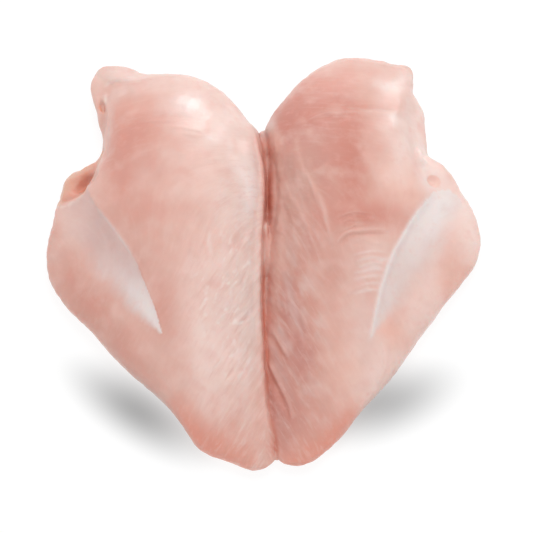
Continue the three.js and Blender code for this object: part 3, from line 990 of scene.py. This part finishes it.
# %% The films at the seams
LEFT_FILM_EDGE = [(-45.5, -43), (-53, -38.8), (-61, -33.4), (-67.6, -27.6), (-75, -20.6),
                  (-82.8, -12.6), (-88.8, -4.4), (-94.1, 3.6), (-97.5, 11.8), (-99.2, 20.4)]
LEFT_FILM_TOP = [(-98, 24), (-94.4, 24), (-89.5, 25.8), (-84.8, 28.6), (-82.6, 31.6), (-81, 27)]
RIGHT_FILM_EDGE = [(48.2, -45.3), (51.6, -41), (56.8, -36), (62, -32), (67.4, -27.4),
                   (73, -21.6), (78.4, -15), (82.4, -8), (86, -1), (89.6, 6.5), (93.6, 14),
                   (95.4, 21)]
RIGHT_FILM_TOP = [(92.4, 28.3), (87.6, 31), (83, 30), (79.4, 28.5), (77.6, 25.5)]
WHOLE_FROM = 0.62
film_noise = 0.07 * noise(grain / (2.5, 9, 9), 15) + 0.08 * noise(points / 9, 19)
for seam, edge, top, tone in ((LEFT_SEAM, LEFT_FILM_EDGE, LEFT_FILM_TOP, "film"),
                              (TENDON, RIGHT_FILM_EDGE, RIGHT_FILM_TOP, "veil")):
    inside = within(seam + edge + top)
    to_edge, to_seam = distance_to(edge), distance_to(seam)
    share_in = to_edge / (to_edge + to_seam + 0.01) + film_noise
    film = inside * step(share_in, 0.02, WHOLE_FROM)
    wash(tone, 0.95 * film)
    if tone == "film":
        white = 1 - step(points[:, 1] + 0.25 * points[:, 0], -46, -16)
        wash("skin", film * white * 0.9)
        wash("pale", inside * soft_oval((-90, 16), (9, 9)) * 0.6)
    else:
        white = step(points[:, 1], -10, 20)
        wash("skin", film * (0.3 + 0.6 * white))
print("film covers", round(float(film.mean()) * 100, 1), "% of the points on the right")

# %% [markdown]
# Last come the small things: white on the lips, the tendon, the knots of fat and the strands that cross
# the cleft, and red in the cleft, in the pocket and in the small hole. Where these lie deep, the red is
# also painted darker, as shade. The folds that were sculpted get their colour too: paler on their ridges,
# a painted highlight, and darker in their grooves, a painted shade. The underside is one plain tone.

# %% Lips, fat and folds
near_cleft = 1 - step(np.abs(past_cleft), 10, 48)
low_by_cleft = near_cleft * (1 - step(points[:, 1], 0, 30))
# Painted light on the sculpted folds: a painted highlight on the ridges and a painted shade in the
# grooves.
ridge_highlight = step(relief, 0.04, 0.30)
groove_shade = step(-relief, 0.04, 0.35)
wash("pale", 0.25 * ridge_highlight)
wash("skin", 0.35 * ridge_highlight * on_left * low_by_cleft)
wash("lean", 0.55 * groove_shade * np.where(past_cleft > 0, 1.0, 0.5))

wash_lines([
    ("pale", 0.6, LEFT_LIP, 1.8),
    ("glow", 0.5, KNOB_FOLD, 1.0),
    ("blush", 0.25, shifted(KNOB_FOLD, 0.5, -2.4), 1.6),
    ("pale", 0.5, RIGHT_LIP, 2.4),
    ("skin", 0.75, TENDON, 1.0, 0.2),
    ("fat", 0.5, shifted(LEFT_FILM_TOP[:4], 0, -0.5), 0.8),
    ("skin", 0.4, LEFT_SEAM[2:8], 0.7, 0.4),
    ("blush", 0.3, shifted(SHOULDER_CREASE, 0, 2.6), 2.4)])
wash_ovals(everywhere, [
    ("fat", 0.8, -76, 79.8, 1.3, 2.4), ("fat", 0.9, 1.5, 9.4, 1.1, 4), ("veil", 0.9, 0.5, 60, 4, 5),
    ("glow", 0.95, 75.2, 46.4, 3.4, 5.6), ("glow", 0.5, 81, 35, 7, 7),
    ("skin", 0.5, -97, 38, 2, 6, -30), ("glow", 0.4, 69, 88, 4, 6)])
to_cut_end = np.hypot(points[:, 0] - CUT_END[0], points[:, 1] - CUT_END[1])
wash("peach", (1 - step(to_cut_end, 2.9, 3.7)) * 0.9)
wash("glow", (1 - step(to_cut_end, 2.2, 3.7)) * 0.12)

which, left, _ = beside(cleft_path, 12)
slot_width = 1.0 + 0.9 * step(points[which, 1], -2, 12)
in_slot = np.zeros(len(points))
in_slot[which] = np.exp(-((left - 0.4 - 0.5 * slot_width) / slot_width) ** 2)
closed = soft_oval((1.5, -3), (4, 8))
at_web = step(points[:, 1], 40, 49)
on_strand = soft_oval((1.5, 9.4), (1.6, 4.2))
# Painted shade: deep in the cleft the red is darkened, most over its middle reach.
wash("deep", 0.95 * in_slot * (1 - 0.7 * at_web) * (1 - 0.9 * on_strand) * (1 - 0.7 * closed))
wash("wine_shade", 0.55 * in_slot * step(points[:, 1], 10, 18) * (1 - step(points[:, 1], 44, 50)))
wash("deep", 0.35 * soft_line(CLEFT[9:], 1.6))
wash("veil", 0.4 * in_slot * closed)
wash_ovals(everywhere, [("coral", 0.45, 3, 50, 4.5, 5.5), ("peach", 0.5, 3.4, 50.5, 4.5, 5.5)])

in_pocket = pocket_cover(0.9)
wash("tan", 0.9 * in_pocket)
# The amber in the pocket's deepest corner is partly painted shade.
wash_ovals(in_pocket, [
    ("coral", 0.85, -90, 31, 5.5, 4, 25), ("blush", 0.4, -88, 38, 6, 4, 30),
    ("amber", 0.95, -85.5, 35.4, 5, 3, 45), ("blush", 0.4, -94, 27, 3, 2),
    ("lean", 0.6, -77.4, 48, 1.6, 3, -20)])
wash("blush", 0.8 * in_pocket * soft_line([(-79.4, 46), (-81, 41), (-84, 37), (-88, 33)], 2.2))
wash("lean", 0.7 * in_pocket * soft_line([(-95, 26.6), (-90, 28.2), (-86, 31)], 1.6))
# The amber in the small hole is partly painted shade.
wash("amber", 0.75 * soft_oval((-78, 75.4), (1.3, 2.6), 15))

wash_ovals(on_right, [("red", 0.3, 6.4, -75, 4, 13, 12), ("dusky", 0.75, 5.6, -73, 3.2, 11, 10)])
wash_lines([
    ("red", 0.65, shifted(INNER_FOLD, -0.6, -0.6), 1.4),
    ("red", 0.5, shifted(BRANCH_FOLD, -0.5, -0.5), 0.9)])
wash("deep", 0.6 * soft_oval((4.6, -91.5), (1.6, 2.2)))
wash_lines([
    ("deep", 0.2, [(0.6, -34), (0.8, -44), (1.4, -54)], 1.6),
    ("flesh", 0.5, [(2.8, 20), (4.4, 4), (6, -10), (7, -22)], 2.2)])
wash("flesh", 0.5 * soft_oval((3.6, 44), (2.2, 7)))
underside = step(-normals[:, 2], 0.6, 0.95)
wash("flesh", 0.85 * underside)

# %% [markdown]
# The meat is damp all over, wetter in a few ovals and drier on the right shoulder, where the strength is
# below 0. The finish reads wetness and tint at every point by name, with the grain that its streaks
# follow, how torn the film is there, and where small painted glints may lie.

# %% Wetness and attributes
DAMP = 0.3
WET_OVALS = [
    (0.72, -32, 69.5, 13, 9), (0.5, -20, 50, 11, 11), (0.35, 60, 79, 10, 8), (0.25, 60, 60, 8, 9),
    (0.6, -17, -32, 14, 34), (0.5, 46, -12, 10, 12), (-0.3, 22, 62, 20, 16)]
wet = DAMP * everywhere
for strength, x, y, half_x, half_y in WET_OVALS:
    wet += strength * soft_oval((x, y), (half_x, half_y))
torn = near_cleft * (1 - step(points[:, 1] + 35 * on_right, 20, 60)) * (1 - 0.5 * on_right)
# Where painted glints may lie: low on the left lobe.
glints = on_left * soft_oval((-17, -28), (14, 34))

for name, values in (("wet", wet), ("torn", torn), ("glints", glints)):
    keep(name, np.clip(values, 0, 1))
keep("grain", grain, "FLOAT_VECTOR", "vector")
keep("tint", np.c_[tint, everywhere], "FLOAT_COLOR", "color")
mean_wet = float(np.clip(wet, 0, 1).mean())
print("mean tint:", np.round(tint.mean(0), 3), " mean wetness:", round(mean_wet, 2))

# %% [markdown]
# The finish is one material for the whole breast. It could be a picture wrapped round the meat,
# but a net of nodes has no edges and no size. It needs three more helpers.

# %% The finish
finish, tree, shader = new_finish("raw_meat")


def mix(share, low, high):
    """Mixes two colours."""
    node = add("ShaderNodeMix", data_type="RGBA")
    for socket, value in zip([s for s in node.inputs if s.enabled], (share, low, high)):
        feed(socket, value)
    return next(s for s in node.outputs if s.enabled)


def attribute_of(name, output="Fac"):
    """What the mesh says at each point under a name."""
    return add("ShaderNodeAttribute", attribute_name=name).outputs[output]


def grains(vector, scale, detail, roughness=0.5, stretch=None):
    """Noise of a scale, drawn out by three factors where a stretch is given."""
    if stretch:
        vector = add("ShaderNodeMapping", {"Vector": vector, "Scale": stretch}).outputs[0]
    return add("ShaderNodeTexNoise", {"Vector": vector, "Scale": scale, "Detail": detail,
                                      "Roughness": roughness}).outputs["Fac"]


# %% [markdown]
# The washes give the large colours. Over them lie fibres, drawn out along the grain, and a soft mottling:
# both are noise, and both only lighten or darken what is there. Where the film is torn, beside the cleft,
# pale threads stand out. Low on the left lobe, a few short bright flecks are painted glints: the sparkle
# of the wet surface.

# %% Colour of the meat
PALE_THREAD = (0.90, 0.70, 0.635, 1)
DARK_THREAD = (0.64, 0.31, 0.25, 1)
PINK_SPOT = (0.80, 0.43, 0.37, 1)
GLINT_WHITE = (0.97, 0.88, 0.84, 1)

place = add("ShaderNodeTexCoord").outputs["Object"]
grain_place = attribute_of("grain", "Vector")
torn_here = attribute_of("torn")
fibre = grains(grain_place, 1.0, 5.0, 0.62, (0.55, 0.075, 0.3))
thread = grains(grain_place, 1.0, 3.0, 0.6, (2.4, 0.3, 1.0))
glint_noise = grains(grain_place, 1.0, 1.0, 0.5, (0.38, 0.2, 0.3))
mottle = grains(place, 85.0, 5.0, 0.6)
spot = grains(place, 210.0, 2.0)
fine = grains(place, 900.0, 3.0)

colour = attribute_of("tint", "Color")
colour = mix(ramp(mottle, 0.50, 0.75, 0.0, 0.22), colour, PALE_THREAD)
colour = mix(ramp(mottle, 0.50, 0.25, 0.0, 0.18), colour, DARK_THREAD)
colour = mix(ramp(spot, 0.58, 0.78, 0.0, 0.28), colour, PINK_SPOT)
pale_threads = math_of("MULTIPLY", ramp(fibre, 0.52, 0.72), ramp(torn_here, 0.0, 1.0, 0.10, 0.45))
colour = mix(pale_threads, colour, PALE_THREAD)
dark_threads = math_of("MULTIPLY", ramp(fibre, 0.48, 0.28), ramp(torn_here, 0.0, 1.0, 0.07, 0.30))
colour = mix(dark_threads, colour, DARK_THREAD)
# Painted glints: short bright flecks where the wet surface would sparkle.
glints_here = attribute_of("glints")
painted_glints = math_of("MULTIPLY", ramp(glint_noise, 0.58, 0.76), ramp(glints_here, 0.1, 0.9, 0.0, 0.55))
colour = mix(painted_glints, colour, GLINT_WHITE)
feed(shader.inputs["Base Color"], colour)

# %% [markdown]
# Meat lets light in a little way and gives it back red, which is what subsurface scattering does.
# The wet film on top is the shader's coat, stronger where the wetness says so. Two fine bumps,
# one of threads and one of grain, break up its highlights.

# %% Gloss and depth
BUMP_DEPTH = 0.3 * MM
thread_bump = math_of("MULTIPLY", thread, ramp(torn_here, 0.0, 1.0, 0.25, 1.0))
bump_fibre = add("ShaderNodeBump", {"Height": thread_bump, "Strength": 0.3, "Distance": BUMP_DEPTH})
bump_fine = add("ShaderNodeBump", {"Height": fine, "Strength": 0.10, "Distance": BUMP_DEPTH,
                                   "Normal": bump_fibre.outputs[0]})
wet_here = attribute_of("wet")
feed_all(shader, {
    "Normal": bump_fine.outputs[0],
    "Roughness": ramp(wet_here, 0.0, 1.0, 0.5, 0.34),
    "Coat Weight": ramp(wet_here, 0.0, 1.0, 0.0, 0.9),
    "Coat Roughness": 0.22,
    "Subsurface Weight": 0.35,
    "Subsurface Radius": (1.0, 0.35, 0.25),
    "Subsurface Scale": 3.0 * MM})
meat.data.materials.append(finish)
select_only(meat)
bpy.ops.object.shade_smooth()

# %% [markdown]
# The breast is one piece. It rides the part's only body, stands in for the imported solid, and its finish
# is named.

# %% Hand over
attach(meat, "root")
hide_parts("chicken_breast")
